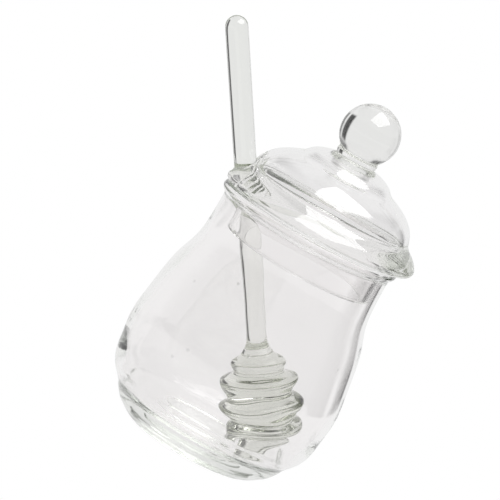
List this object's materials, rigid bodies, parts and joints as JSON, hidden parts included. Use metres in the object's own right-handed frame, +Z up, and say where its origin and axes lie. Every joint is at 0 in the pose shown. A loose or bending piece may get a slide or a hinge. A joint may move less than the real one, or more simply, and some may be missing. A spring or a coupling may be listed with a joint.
{
  "type": "glass honey jar with lid and dipper",
  "caption": "Empty clear glass honey jar with a round belly, a loose domed lid with a ball knob and a side notch, and a ribbed glass dipper that leans out through the notch.",
  "frame": {"origin": "centre of the jar's flat foot, on the surface it stands on", "axes": "+Z up along the jar's axis, -X towards the lid's notch and the dipper's handle, -Y towards the picture's viewer"},
  "size_m": [0.0998, 0.0804, 0.1386],
  "materials": {
    "jar_glass": "clear, hand-blown, polished",
    "lid_glass": "clear, hand-blown, polished",
    "dipper_glass": "clear, flame-worked, polished"
  },
  "bodies": {
    "root": {"jar": "jar_glass", "lid": "lid_glass", "dipper": "dipper_glass"}
  },
  "joints": []
}
